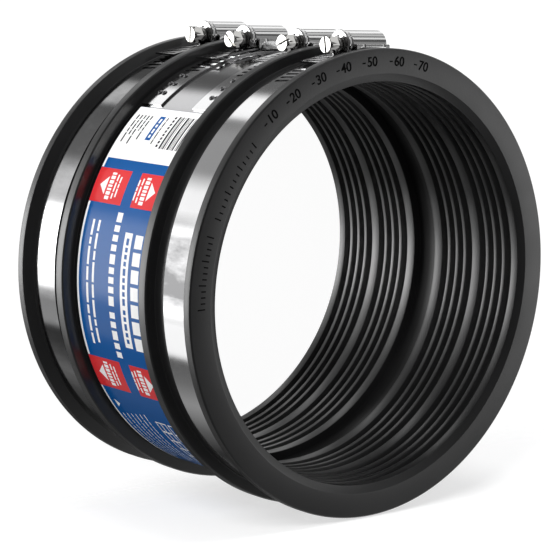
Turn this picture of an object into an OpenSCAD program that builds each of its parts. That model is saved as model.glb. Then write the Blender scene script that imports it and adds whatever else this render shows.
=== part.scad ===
// Flexible rubber pipe coupling with a steel shear ring and four worm-drive clamps.
// It stands on its lower rim: the pipe axis is Z, the clamp housings are on the +Y side.

/* [Rubber sleeve] */
// Width of the coupling from rim to rim
sleeve_w = 120; // [100:1:140]
// Radius of the sealing lands that grip the pipe
land_r = 83.5; // [75:0.5:95]
// Rubber between the lands and the floor of a clamp groove
groove_wall = 8.8; // [8:0.1:12]
// Rubber between the lands and the seat of the shear ring
seat_wall = 7.6; // [7:0.1:8.3]
// Rubber between the lands and the crest of a rim or rib
crest_wall = 13.5; // [13:0.1:16]
// Depth of the grooves between the sealing lips
lip_h = 2.3; // [1:0.1:3]
// Depth of the recess at mid-width, where the pipes meet
stop_h = 3; // [1:0.1:4]
// Half width of the recess at mid-width
stop_half_w = 6.5; // [4:0.1:8]
// Lead-in chamfer at each mouth, across the wall
mouth_r = 3.3; // [2:0.1:4]
// Lead-in chamfer at each mouth, along the axis
mouth_w = 1.5; // [1:0.1:2.5]
// Width of each end rim at its root
rim_w = 5.4; // [4.8:0.1:6]
// Width of each end rim at its crest
rim_crest_w = 4; // [3:0.1:4.6]
// Width of each middle rib
rib_w = 5; // [4:0.1:6]
// Bevel on the edges of rims and ribs
bevel = 0.5; // [0.2:0.1:1]

/* [Sealing lips] */
// Lips in each group
lip_count = 3; // [2:1:3]
// Width of a lip at its crest
lip_w = 2; // [1.2:0.1:2.4]
// Width of the plain land at each mouth
mouth_land_w = 4; // [3:0.1:6]
// Width of the plain land between a half's two groups of lips
mid_land_w = 5; // [3:0.1:7]
// Width of the plain land beside the recess at mid-width
stop_land_w = 5.1; // [3:0.1:7]

/* [Shear ring and label] */
// Thickness of the shear ring's sheet
ring_t = 0.5; // [0.3:0.05:0.8]
// Distance from each rib to the shear ring
ring_side_gap = 1; // [0.5:0.1:2]
// Angle of the slit where the ring's ends meet
slit_angle = 62; // [58:1:66]
// Width of the slit, in degrees
slit_span = 1.6; // [1:0.1:3]
// Thickness of the label film
label_t = 0.2; // [0.15:0.05:0.3]
// Distance from the label to each edge of the shear ring
label_margin = 2.4; // [1:0.1:6]
// Angle where the label starts
label_start = 131.7; // [131.5:0.1:140]
// Angle where the label ends
label_end = 246; // [200:1:300]

/* [Clamp bands] */
// Width of every band
band_w = 13.5; // [9:0.1:16]
// Thickness of every band
band_t = 0.7; // [0.5:0.05:1]
// Angles where the four free tails stop
tail_tip_angle = [110.5, 110, 108.5, 107];
// Angle where a free tail leaves the curve and runs straight
tail_straight_angle = 102; // [100:0.5:103]
// Length of a band slot across the band
slot_l = 8.4; // [5:0.1:9]
// Width of a band slot along the band
slot_w = 1.5; // [1:0.1:1.8]
// Slant of the band slots
slot_slant = 9; // [0:1:14]
// Spacing of the band slots, in degrees
slot_step = 1.95; // [1.8:0.05:2.6]
// Angle where a fixed strap stops on the shear ring
strap_end = 130.7; // [128:0.1:130.9]
// Angle where the inner tail bands start on the shear ring
tail_band_start = 20; // [0:1:30]
// Angle where an outer band's fixed stretch has its last slot
outer_slot_end = 116.4; // [110:0.1:120]
// Angle where a fixed strap has its last slot
strap_slot_end = 115; // [110:0.1:116]
// Radius of a clinch button
clinch_r = 1.3; // [1:0.1:2]
// Height of a clinch button
clinch_h = 0.5; // [0.2:0.1:0.8]
// Space between the two buttons of a pair
clinch_space = 0.3; // [0.2:0.1:1]
// Spacing of the pairs, in degrees
clinch_step = 4; // [3.5:0.1:4.5]
// Distance from a band's end to its nearest pair, in degrees
clinch_margin = 4.6; // [4:0.1:6]

/* [Housings] */
// Thickness of the saddle's sheet
saddle_t = 0.6; // [0.5:0.05:1]
// Length of the saddle behind the housing's centre
saddle_back = 9.5; // [9:0.1:10.5]
// Length of the saddle in front of the housing's centre, with its foot
saddle_front = 10.6; // [9.5:0.1:14]
// Height of the saddle's side walls
saddle_wall_h = 2.4; // [1.2:0.1:3]
// Length of the saddle's side walls
saddle_wall_l = 17; // [14:0.5:18]
// Thickness of the housing's sheet
housing_t = 0.8; // [0.6:0.05:1.1]
// Length of the housing behind its centre
housing_back = 9.4; // [9:0.1:10]
// Length of the housing in front of its centre
housing_front = 8.3; // [8:0.1:10]
// Height of the housing's shoulders above the tail
shoulder_h = 2.7; // [2:0.1:3]
// Radius inside the housing's barrel
barrel_in_r = 5; // [4.6:0.05:5.2]
// How far the barrel flares at its nose
flare_r = 0.3; // [0.1:0.1:0.6]
// Length of the nose that holds the screw's collar
nose_l = 3; // [2.4:0.1:3.2]
// Depth of the recess in the nose that the collar runs in
collar_sink = 1; // [0.6:0.1:1]
// Size of the crimp notches in the shoulders
notch_w = 1.6; // [0.8:0.1:2]

/* [Worm screws] */
// Radius of the worm's core
worm_r = 2.8; // [2.5:0.05:2.9]
// Radius of the screw's collar
collar_r = 3.6; // [3.2:0.1:3.6]
// Length of the collar
collar_l = 3.8; // [3:0.1:4]
// Rounding of the collar's rim
collar_round = 0.6; // [0.2:0.1:0.8]
// Size of the hexagon across its flats
hex_af = 7; // [6:0.1:7.2]
// Length of the hexagon head
hex_l = 4.4; // [4:0.1:6]
// Chamfer on the hexagon's corners
hex_chamfer = 0.1; // [0.05:0.05:0.4]
// Width of the driver slot
driver_w = 1.1; // [0.8:0.1:1.5]
// Depth of the driver slot
driver_h = 1.6; // [1:0.1:2.2]

/* [Clearances] */
// Gap between parts that lie on each other
lay_gap = 0.1; // [0.05:0.01:0.15]
// Running gap round the worm's neck
neck_gap = 0.08; // [0.03:0.01:0.1]
// Gap between the worm and the tail below it
worm_gap = 0.25; // [0.2:0.05:0.4]
// Running gap round and behind the collar
collar_gap = 0.3; // [0.2:0.05:0.4]
// Gap between a band's edge and the housing's legs
leg_gap = 0.2; // [0.1:0.05:0.4]

/* [Hidden] */
$fn = 96;

mid_z = sleeve_w / 2;
leg_u = band_w / 2 + leg_gap;
saddle_half_w = leg_u + housing_t + lay_gap + saddle_t;

// Shares of the free width that lie before an outer clamp, before a rib and before an inner clamp
free_share = [0.09, 0.31, 0.035];
free_w = mid_z - rim_w - rib_w - 4 * saddle_half_w;
outer_clamp_z = rim_w + free_share[0] * free_w + saddle_half_w;
rib_z = outer_clamp_z + saddle_half_w + free_share[1] * free_w;
inner_clamp_z = rib_z + rib_w + free_share[2] * free_w + saddle_half_w;

groove_r = land_r + groove_wall;
seat_r = land_r + seat_wall;
crest_r = land_r + crest_wall;
lip_root_r = land_r + lip_h;
lip_flank = lip_h / 4;
stop_flank = stop_h / 4;
// Each half has two groups of lips between its lands
group_w = (mid_z - stop_half_w - stop_land_w - mid_land_w - mouth_land_w - mouth_w) / 2;
lip_pitch = (group_w + lip_w - 2 * lip_flank) / (lip_count + 1);
inner_group_m = stop_half_w + stop_land_w;
outer_group_m = inner_group_m + group_w + mid_land_w;

// Radii of the layers that lie on the sleeve
ring_in_r = seat_r + lay_gap;
ring_out_r = ring_in_r + ring_t;
label_in_r = ring_out_r + lay_gap / 2;
outer_band_r = groove_r + lay_gap + band_t;
inner_band_r = ring_out_r + lay_gap + band_t;
ring_z = rib_z + rib_w + ring_side_gap;

// Heights of a clamp's layers above the outside of the band it sits on
saddle_lift = lay_gap;
tail_lift = saddle_lift + saddle_t + lay_gap;
nose_lift = tail_lift + band_t + worm_gap;
axis_lift = nose_lift + worm_r;
shoulder_lift = tail_lift + band_t + shoulder_h;
leg_lift = saddle_lift + saddle_t + lay_gap;

clamp_z = [outer_clamp_z, inner_clamp_z, sleeve_w - inner_clamp_z, sleeve_w - outer_clamp_z];
clamp_base_r = [outer_band_r, inner_band_r, inner_band_r, outer_band_r];
// Where each screw happens to have stopped
driver_angle = [90, 140, 25, 80];

housing_angle = 90;
ramp_start = 50;
ramp_end = 78;
run_in_slots = [for (i = [0 : 4]) ramp_start - (i + 0.5) * slot_step];
// Angle of the first slot in a band's fixed stretch
fixed_slot_start = 100;
clinch_rows = 3;
// A button's top is this share of its foot
clinch_top = 0.8;
// How far the saddle's walls reach into its sheet
wall_sink = 0.2;
// Distance from the worm's end to the end of the housing
worm_back = 1;
notch_x = [-5.4, 5.4];
// Facets along a free end's curve
free_steps = 44;
// How far the slot cutters reach past a band's faces
slot_clear = 0.2;
band_fixed_angle = 86;
// How far the stretches of a band run into each other, in degrees
join_lap = 1;
// Step between the stretches, so that their faces never coincide
join_step = 0.06;
cut = 1;
// Largest angle of one facet of a sector
sector_step = 20;

// Profile of the sleeve

// Half profile of the inside, as [radius, distance from mid-width]
function group_points(start) = concat(
  [[land_r, start], [lip_root_r, start + lip_flank]],
  [for (i = [1 : lip_count])
    for (p = [[lip_root_r, -lip_w / 2 - lip_flank], [land_r, -lip_w / 2],
              [land_r, lip_w / 2], [lip_root_r, lip_w / 2 + lip_flank]])
      [p[0], start + lip_flank + i * lip_pitch - lip_w / 2 + p[1]]],
  [[lip_root_r, start + group_w - lip_flank], [land_r, start + group_w]]
);
function half_inside() = concat(
  [[land_r + stop_h, 0], [land_r + stop_h, stop_half_w - stop_flank], [land_r, stop_half_w]],
  group_points(inner_group_m),
  group_points(outer_group_m),
  [[land_r, mid_z - mouth_w], [land_r + mouth_r, mid_z]]
);

// Half profile of the outside, as [radius, distance from the rim]
function half_outside() = [
  [crest_r - bevel, 0], [crest_r, bevel], [crest_r, rim_crest_w], [groove_r, rim_w],
  [groove_r, rib_z], [crest_r - bevel, rib_z], [crest_r, rib_z + bevel],
  [crest_r, rib_z + rib_w - bevel], [crest_r - bevel, rib_z + rib_w], [seat_r, rib_z + rib_w]
];

function upward(p) = [for (q = p) [q[0], mid_z + q[1]]];
function downward(p) = [for (i = [len(p) - 1 : -1 : 1]) [p[i][0], mid_z - p[i][1]]];
function mirrored(p) = [for (i = [len(p) - 1 : -1 : 0]) [p[i][0], sleeve_w - p[i][1]]];
function reversed(p) = [for (i = [len(p) - 1 : -1 : 0]) p[i]];

module rubber_sleeve() {
  inside = concat(downward(half_inside()), upward(half_inside()));
  outside = concat(half_outside(), mirrored(half_outside()));
  color([0.13, 0.13, 0.135])
    rotate_extrude($fn = 180)
      polygon(concat(inside, reversed(outside)));
}

// A wedge-shaped prism about the axis that keeps the angles from a0 to a1
module sector(a0, a1, z0, z1) {
  steps = ceil((a1 - a0) / sector_step);
  reach = crest_r / cos(sector_step);
  translate([0, 0, z0])
    linear_extrude(z1 - z0)
      polygon(concat([[0, 0]], [
        for (i = [0 : steps])
          let (a = a0 + (a1 - a0) * i / steps)
            [reach * cos(a), reach * sin(a)]
      ]));
}

// A curved strip of sheet about the axis
module arc_sheet(r_in, t, a0, a1, z0, z1) {
  intersection() {
    difference() {
      translate([0, 0, z0]) cylinder(r = r_in + t, h = z1 - z0, $fn = 180);
      translate([0, 0, z0 - cut]) cylinder(r = r_in, h = z1 - z0 + 2 * cut, $fn = 180);
    }
    sector(a0, a1, z0 - cut, z1 + cut);
  }
}

module shear_ring() {
  color([0.62, 0.63, 0.65])
    arc_sheet(ring_in_r, ring_t, slit_angle + slit_span / 2, slit_angle + 360 - slit_span / 2,
              ring_z, sleeve_w - ring_z);
}

module printed_label() {
  color([0.07, 0.31, 0.58])
    arc_sheet(label_in_r, label_t, label_start, label_end,
              ring_z + label_margin, sleeve_w - ring_z - label_margin);
}

// One slot cutter at an angle, from radius r0 to r1
module slot_cutter(a, r0, r1, z) {
  rotate([0, 0, a])
    translate([(r0 + r1) / 2, 0, z])
      rotate([slot_slant, 0, 0])
        cube([r1 - r0, slot_w, slot_l], center = true);
}

// The free end of a band: it climbs off the curve, passes under the worm and runs out straight
function climb(a) = (1 - cos(180 * min(1, (a - ramp_start) / (ramp_end - ramp_start)))) / 2;
// Radius of the free end's inner side, at an angle
function free_in_r(a, base_r) =
  base_r - band_t + join_step + (tail_lift + band_t - join_step) * climb(a);
function polar(r, a) = [r * cos(a), r * sin(a)];
function free_side(base_r, lift, straight_l) =
  let (a_end = tail_straight_angle,
       step = (a_end - ramp_start) / free_steps,
       last = polar(free_in_r(a_end, base_r) + lift, a_end))
    concat(
      [for (j = [0 : free_steps])
        let (a = ramp_start + j * step)
          polar(free_in_r(a, base_r) + lift, a)],
      [last + straight_l * [-sin(a_end), cos(a_end)]]
    );

module free_end(base_r, z, tip_angle) {
  tail_mid_r = base_r + tail_lift + band_t / 2;
  straight_l = tail_mid_r * tan(tip_angle - tail_straight_angle);
  slot_pitch = tail_mid_r * slot_step * PI / 180;
  difference() {
    translate([0, 0, z - band_w / 2])
      linear_extrude(band_w)
        polygon(concat(free_side(base_r, 0, straight_l), reversed(free_side(base_r, band_t, straight_l))));
    for (a = [tail_straight_angle - slot_step : -slot_step : ramp_start + join_lap + slot_step / 2])
      slot_cutter(a, free_in_r(a, base_r) - slot_clear, free_in_r(a, base_r) + band_t + slot_clear, z);
    rotate([0, 0, tail_straight_angle])
      for (s = [slot_w : slot_pitch : straight_l - slot_w])
        translate([tail_mid_r, s, z])
          rotate([slot_slant, 0, 0])
            cube([band_t + 2 * slot_clear, slot_w, slot_l], center = true);
  }
}

// The part of a band that lies round the sleeve, slotted near the housing
module lying_band(base_r, z, a0, a1, slots) {
  difference() {
    arc_sheet(base_r - band_t, band_t, a0, a1, z - band_w / 2, z + band_w / 2);
    for (a = slots)
      slot_cutter(a, base_r - band_t - slot_clear, base_r + slot_clear, z);
  }
}

module clamp_band(i) {
  color([0.72, 0.73, 0.75]) {
    lying_band(clamp_base_r[i], clamp_z[i], band_fixed_angle, 360 + ramp_start + join_lap,
               concat([for (a = [fixed_slot_start : slot_step : outer_slot_end]) a], run_in_slots));
    free_end(clamp_base_r[i], clamp_z[i], tail_tip_angle[i]);
  }
}

module clamp_strap(i) {
  color([0.72, 0.73, 0.75]) {
    lying_band(clamp_base_r[i], clamp_z[i], band_fixed_angle, strap_end,
               [for (a = [fixed_slot_start : slot_step : strap_slot_end]) a]);
    clinches(i, strap_end - clinch_margin);
  }
}

module tail_band(i) {
  color([0.72, 0.73, 0.75]) {
    lying_band(clamp_base_r[i], clamp_z[i], tail_band_start, ramp_start + join_lap, run_in_slots);
    free_end(clamp_base_r[i], clamp_z[i], tail_tip_angle[i]);
    clinches(i, tail_band_start + clinch_margin + (clinch_rows - 1) * clinch_step);
  }
}

// Pairs of clinch buttons that hold a band to the shear ring, counted down from an angle
module clinches(i, first) {
  for (j = [0 : clinch_rows - 1])
    for (side = [-1, 1])
      rotate([0, 0, first - j * clinch_step])
        translate([clamp_base_r[i] - band_t / 2, 0, clamp_z[i] + side * (clinch_r + clinch_space / 2)])
          rotate([0, 90, 0])
            cylinder(r1 = clinch_r, r2 = clinch_r * clinch_top, h = band_t / 2 + clinch_h, $fn = 32);
}

// Housing parts are drawn with X along the screw, Y outwards and Z along the pipe
module at_clamp(i) {
  translate([0, 0, clamp_z[i]])
    rotate([0, 0, housing_angle - 90])
      children();
}

function axis_r(i) = clamp_base_r[i] + axis_lift;

module saddle(i) {
  in_r = clamp_base_r[i] + saddle_lift;
  a_back = 90 + asin(saddle_back / in_r);
  a_front = 90 - asin(saddle_front / in_r);
  color([0.66, 0.67, 0.69])
    at_clamp(i) {
      arc_sheet(in_r, saddle_t, a_front, a_back, -saddle_half_w, saddle_half_w);
      for (z = [-saddle_half_w, saddle_half_w - saddle_t])
        translate([-saddle_wall_l / 2, in_r - wall_sink, z])
          cube([saddle_wall_l, saddle_wall_h + wall_sink, saddle_t]);
    }
}

// Outline of the barrel and its shoulders, seen along the screw; y is measured from the centre
module housing_outline(i, out_r) {
  y_axis = axis_r(i);
  y_shoulder = clamp_base_r[i] + shoulder_lift;
  y_leg = clamp_base_r[i] + leg_lift;
  intersection() {
    translate([0, y_axis]) circle(r = out_r, $fn = 64);
    translate([-out_r, y_shoulder]) square(2 * out_r);
  }
  translate([-leg_u - housing_t, y_shoulder]) square([2 * (leg_u + housing_t), housing_t]);
  for (side = [-1, 1])
    translate([side > 0 ? leg_u : -leg_u - housing_t, y_leg])
      square([housing_t, y_shoulder + housing_t - y_leg]);
}

module along_screw(x0, x1) {
  translate([x0, 0, 0])
    rotate([0, 90, 0])
      linear_extrude(x1 - x0)
        children();
}

// A round piece on the screw's axis, from x0 to x1
module round_on_screw(i, x0, x1, r0, r1) {
  translate([x0, axis_r(i), 0])
    rotate([0, 90, 0])
      cylinder(r1 = r0, r2 = r1, h = x1 - x0, $fn = 64);
}

module housing(i) {
  out_r = barrel_in_r + housing_t;
  neck_r = worm_r + neck_gap;
  x_nose = -housing_back - nose_l;
  y_shoulder = clamp_base_r[i] + shoulder_lift;
  color([0.8, 0.8, 0.81])
    at_clamp(i)
      difference() {
        union() {
          difference() {
            along_screw(-housing_back, housing_front) housing_outline(i, out_r);
            round_on_screw(i, -housing_back + housing_t, housing_front + cut, barrel_in_r, barrel_in_r);
          }
          // Nose that holds the screw's collar, open to the tail below it
          intersection() {
            round_on_screw(i, x_nose, -housing_back + housing_t, out_r + flare_r, out_r);
            translate([x_nose - cut, clamp_base_r[i] + nose_lift, -2 * out_r])
              cube([nose_l + housing_t + 2 * cut, 4 * out_r, 4 * out_r]);
          }
        }
        // Round hole that carries the worm's neck
        round_on_screw(i, x_nose - cut, -housing_back + housing_t + cut, neck_r, neck_r);
        // Space for the collar inside the nose
        round_on_screw(i, x_nose - cut, x_nose + collar_sink, collar_r + collar_gap, collar_r + collar_gap);
        // Crimp notches in the shoulders
        for (x = notch_x)
          for (side = [-1, 1])
            translate([x, y_shoulder + housing_t, side * (leg_u + housing_t)])
              rotate([45, 0, 0])
                cube(notch_w, center = true);
      }
}

module worm_screw(i) {
  x_neck = -housing_back - nose_l + collar_sink - collar_gap;
  x_collar = x_neck - collar_l;
  x_face = x_collar - hex_l;
  rim_r = collar_r - collar_round;
  face_r = hex_af / 2 - hex_chamfer;
  color([0.75, 0.75, 0.76])
    at_clamp(i)
      translate([0, axis_r(i), 0])
        rotate([0, 90, 0]) {
          translate([0, 0, x_neck]) cylinder(r = worm_r, h = housing_front - worm_back - x_neck, $fn = 64);
          // Collar with a rounded rim
          translate([0, 0, x_collar])
            rotate_extrude($fn = 64)
              polygon([[0, 0], [rim_r, 0], [collar_r, collar_round], [collar_r, collar_l - collar_round],
                       [rim_r, collar_l], [0, collar_l]]);
          difference() {
            intersection() {
              translate([0, 0, x_face]) cylinder(d = hex_af / cos(30), h = hex_l, $fn = 6);
              // Chamfered corners of the hexagon
              translate([0, 0, x_face])
                cylinder(r1 = face_r, r2 = face_r + hex_l, h = hex_l, $fn = 64);
            }
            rotate([0, 0, driver_angle[i]])
              translate([-hex_af, -driver_w / 2, x_face - cut])
                cube([2 * hex_af, driver_w, driver_h + cut]);
          }
        }
}

rubber_sleeve();
shear_ring();
printed_label();
clamp_band(0);  // clamp_band_1
clamp_band(3);  // clamp_band_4
clamp_strap(1);  // clamp_strap_2
clamp_strap(2);  // clamp_strap_3
tail_band(1);  // tail_band_2
tail_band(2);  // tail_band_3
saddle(0);  // saddle_1
saddle(1);  // saddle_2
saddle(2);  // saddle_3
saddle(3);  // saddle_4
housing(0);  // housing_1
housing(1);  // housing_2
housing(2);  // housing_3
housing(3);  // housing_4
worm_screw(0);  // worm_screw_1
worm_screw(1);  // worm_screw_2
worm_screw(2);  // worm_screw_3
worm_screw(3);  // worm_screw_4
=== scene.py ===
from math import acos, asin, ceil, cos, degrees, pi, radians, sin, tan

import bmesh
import bpy
from mathutils import Matrix, Vector
from mathutils.geometry import delaunay_2d_cdt


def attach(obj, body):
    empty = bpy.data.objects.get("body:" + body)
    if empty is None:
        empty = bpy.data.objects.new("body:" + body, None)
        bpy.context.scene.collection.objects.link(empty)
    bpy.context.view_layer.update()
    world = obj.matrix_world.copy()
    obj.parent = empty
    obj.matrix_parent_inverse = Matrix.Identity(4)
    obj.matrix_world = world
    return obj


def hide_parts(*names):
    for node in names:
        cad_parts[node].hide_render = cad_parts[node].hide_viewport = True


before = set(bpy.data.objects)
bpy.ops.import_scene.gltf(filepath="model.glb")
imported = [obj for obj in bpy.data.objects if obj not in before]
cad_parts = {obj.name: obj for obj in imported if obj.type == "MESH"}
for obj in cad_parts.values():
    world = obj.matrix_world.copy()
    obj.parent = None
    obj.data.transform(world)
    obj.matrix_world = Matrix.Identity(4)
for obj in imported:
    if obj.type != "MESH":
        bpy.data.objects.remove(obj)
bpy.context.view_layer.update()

MM = 0.001

# Sizes of the coupling, in millimetres and degrees; the names are those of the CAD source

# Sleeve
sleeve_w = 120.0
mid_z = sleeve_w / 2
land_r = 83.5
groove_wall = 8.8
seat_wall = 7.6
crest_wall = 13.5
groove_r = land_r + groove_wall
seat_r = land_r + seat_wall
crest_r = land_r + crest_wall
lip_h = 2.3
lip_flank = lip_h / 4
lip_w = 2.0
lip_count = 3
stop_h = 3.0
stop_flank = stop_h / 4
stop_half_w = 6.5
stop_land_w = 5.1
mid_land_w = 5.0
mouth_land_w = 4.0
mouth_r = 3.3
mouth_w = 1.5
group_w = (mid_z - stop_half_w - stop_land_w - mid_land_w - mouth_land_w - mouth_w) / 2
lip_pitch = (group_w + lip_w - 2 * lip_flank) / (lip_count + 1)
rim_w = 5.4
rim_crest_w = 4.0
rib_w = 5.0
bevel = 0.5
mould_round = 0.3

# Shear ring and label
lay_gap = 0.1
ring_t = 0.5
ring_in_r = seat_r + lay_gap
ring_out_r = ring_in_r + ring_t
ring_side_gap = 1.0
slit_angle = 62.0
slit_span = 1.6
label_t = 0.2
label_margin = 2.4
label_in_r = ring_out_r + lay_gap / 2
label_start = 131.7
label_end = 246.0

# Bands
band_w = 13.5
band_t = 0.7
outer_band_r = groove_r + lay_gap + band_t
inner_band_r = ring_out_r + lay_gap + band_t
clamp_base_r = [outer_band_r, inner_band_r, inner_band_r, outer_band_r]
tail_tip_angle = [110.5, 110.0, 108.5, 107.0]
tail_straight_angle = 102.0
ramp_start = 50.0
ramp_end = 78.0
band_fixed_angle = 86.0
strap_end = 130.7
tail_band_start = 20.0
fixed_slot_start = 100.0
outer_slot_end = 116.4
strap_slot_end = 115.0
slot_l = 8.4
slot_w = 1.5
slot_slant = 9.0
slot_step = 1.95
slot_round = 0.5
slot_tip_margin = 1.3
slot_ramp_margin = 6.0
clinch_r = 1.3
clinch_h = 0.5
clinch_foot = 0.3
clinch_space = 0.3
clinch_step = 4.0
clinch_margin = 4.6
clinch_rows = 3

# Saddles and housings
saddle_t = 0.6
saddle_back = 9.5
saddle_front = 10.6
saddle_round = 0.9
saddle_wall_h = 2.4
saddle_wall_l = 17.0
wall_sink = 0.2
saddle_wall_slope = 1.0
housing_t = 0.8
housing_back = 9.4
housing_front = 8.3
shoulder_h = 2.7
shoulder_round = 0.5
barrel_in_r = 5.0
flare_r = 0.3
nose_l = 3.0
collar_sink = 1.0
notch_w = 1.6
notch_x = (-5.4, 5.4)

# Screws
worm_r = 2.8
worm_back = 1.0
thread_pitch = 3.2
thread_h = 0.22
thread_half_w = 0.6
thread_crest_half_w = 0.25
thread_start_gap = 1.0
thread_end_gap = 1.2
thread_sink = 0.2
collar_r = 3.6
collar_l = 3.8
collar_neck_h = 0.6
hex_af = 7.0
hex_l = 4.4
hex_face_share = 0.93
hex_edge_l = 0.25
hex_chamfer_l = 0.9
driver_w = 1.1
driver_h = 1.6
driver_angle = [90.0, 40.0, 155.0, 80.0]

# Gaps between the pieces of a clamp
neck_gap = 0.08
worm_gap = 0.25
collar_gap = 0.3
leg_gap = 0.2

# Where the clamps, the ring and the label stand along the sleeve, and how high a clamp's pieces lie on it
leg_u = band_w / 2 + leg_gap
saddle_half_w = leg_u + housing_t + lay_gap + saddle_t
free_share = (0.09, 0.31, 0.035)
free_w = mid_z - rim_w - rib_w - 4 * saddle_half_w
outer_clamp_z = rim_w + free_share[0] * free_w + saddle_half_w
rib_z = outer_clamp_z + saddle_half_w + free_share[1] * free_w
inner_clamp_z = rib_z + rib_w + free_share[2] * free_w + saddle_half_w
clamp_z = [outer_clamp_z, inner_clamp_z, sleeve_w - inner_clamp_z, sleeve_w - outer_clamp_z]
ring_z = rib_z + rib_w + ring_side_gap
label_z = ring_z + label_margin
label_w = sleeve_w - 2 * label_z
saddle_lift = lay_gap
tail_lift = saddle_lift + saddle_t + lay_gap
nose_lift = tail_lift + band_t + worm_gap
axis_lift = nose_lift + worm_r
shoulder_lift = tail_lift + band_t + shoulder_h
leg_lift = saddle_lift + saddle_t + lay_gap

# How finely round pieces are divided: facets to a turn, and degrees to a strip of a bent sheet
sleeve_facets = 256
turned_facets = 64
button_facets = 24
hex_side_facets = 12
sheet_step = 1.5
saddle_step = 2.0

# Half the size of the floor and the backdrop, and the backdrop's distance from the coupling
stage_half = 3000.0
backdrop_gap = 0.6

# Output types of delaunay_2d_cdt: the whole hull in triangles, or the outline's own face
CDT_HULL = 0
CDT_OUTLINE = 2


# Materials

class Tree:
    """The nodes of a material or a world, with short ways to add and join them."""

    def __init__(self, owner):
        owner.use_nodes = True
        self.owner = owner
        self.nodes = owner.node_tree.nodes
        self.links = owner.node_tree.links

    def add(self, kind, **values):
        node = self.nodes.new(kind)
        for key, value in values.items():
            setattr(node, key, value)
        return node

    def feed(self, socket, value):
        """Gives a socket a plain value, or the output of another node."""
        if isinstance(value, bpy.types.NodeSocket):
            self.links.new(value, socket)
        else:
            socket.default_value = value

    def fill(self, node, **values):
        """Feeds a node's sockets by their names, with an underscore for each space."""
        for key, value in values.items():
            self.feed(node.inputs[key.replace("_", " ")], value)
        return node

    def principled(self, **values):
        self.fill(self.nodes["Principled BSDF"], **values)

    def axes(self, kind="Object"):
        """X, Y and Z of the place on the object or, as Generated, of a direction in the world."""
        parts = self.add("ShaderNodeSeparateXYZ")
        self.feed(parts.inputs[0], self.add("ShaderNodeTexCoord").outputs[kind])
        return parts.outputs

    def math(self, operation, *values):
        node = self.add("ShaderNodeMath", operation=operation)
        for socket, value in zip(node.inputs, values):
            self.feed(socket, value)
        return node.outputs[0]

    def turn(self, axes):
        """The angle round the pipe, in radians."""
        return self.math("ARCTAN2", axes["Y"], axes["X"])

    def mix_shaders(self, share, first, second):
        node = self.add("ShaderNodeMixShader")
        for socket, value in zip(node.inputs, (share, first, second)):
            self.feed(socket, value)
        return node.outputs[0]

    def noise(self, scale, detail=3.0, rough=0.55, stretch=(1, 1, 1)):
        place = self.add("ShaderNodeTexCoord").outputs["Object"]
        shape = self.fill(self.add("ShaderNodeMapping"), Vector=place, Scale=stretch)
        cloud = self.fill(self.add("ShaderNodeTexNoise"), Vector=shape.outputs["Vector"], Scale=scale,
                          Detail=detail, Roughness=rough)
        return cloud.outputs["Fac"]

    def ramp(self, source, stops):
        node = self.fill(self.add("ShaderNodeValToRGB"), Fac=source)
        bar = node.color_ramp
        while len(bar.elements) < len(stops):
            bar.elements.new(0.5)
        for element, (place, colour) in zip(bar.elements, stops):
            element.position = place
            element.color = (*colour, 1)
        return node.outputs["Color"]

    def spread(self, source, low, high, start=0.0, end=1.0, kind="LINEAR"):
        """Carries what lies from start to end over to the range from low to high."""
        node = self.add("ShaderNodeMapRange", interpolation_type=kind)
        self.fill(node, Value=source, From_Min=start, From_Max=end, To_Min=low, To_Max=high)
        return node.outputs["Result"]

    def bump(self, source, strength, distance):
        node = self.fill(self.add("ShaderNodeBump"), Strength=strength, Distance=distance, Height=source)
        self.principled(Normal=node.outputs["Normal"])


def new_material(name):
    return Tree(bpy.data.materials.new(name))


def grey(value):
    return (value, value, value)


def scaled(colour, share):
    return tuple(c * share for c in colour)


def rubber_material():
    """Black moulded rubber: satin, with a fine grain and a faint bloom. Its sheen is set by height: almost
    none in the middle recess, as painted shade, and most on the far half, as painted highlight.
    """
    t = new_material("moulded_rubber")
    colour = t.ramp(t.noise(26.0, 4.0), [(0.3, (0.007, 0.007, 0.0072)), (0.72, (0.011, 0.011, 0.0113))])
    height = t.spread(t.axes()["Z"], 0.0, 1.0, 0.0, sleeve_w * MM)
    low, high = (mid_z - stop_half_w) / sleeve_w, (mid_z + stop_half_w) / sleeve_w
    edge = 0.008
    # Painted shade and highlight: the specular level is lowest in the middle recess and highest on the far
    # half
    painted_shade_and_sheen = t.ramp(height, [(low - edge, grey(1.0)), (low, grey(0.02)), (0.5, grey(0.05)),
                            (high, grey(0.3)), (high + edge, grey(0.68))])
    t.principled(Metallic=0.0, Base_Color=colour, Roughness=t.spread(t.noise(60.0), 0.27, 0.36),
                 Specular_IOR_Level=painted_shade_and_sheen)
    t.bump(t.noise(900.0, 2.0), 0.12, 0.0002)
    return t.owner


def mark_material():
    """The numbers, dashes and ticks on the end face: rough and dull, and darker than the face as painted
    shade at the raised marks.
    """
    t = new_material("dull_mark_rubber_painted_shade")
    # Painted shade: the marks' colour is darker than the rubber they are moulded in
    colour = t.ramp(t.noise(200.0, 2.0), [(0.3, grey(0.001)), (0.7, grey(0.003))])
    t.principled(Metallic=0.0, Base_Color=colour, Roughness=t.spread(t.noise(300.0, 2.0), 0.6, 0.8),
                 Specular_IOR_Level=0.08)
    t.bump(t.noise(900.0, 2.0), 0.1, 0.0001)
    return t.owner


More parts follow.
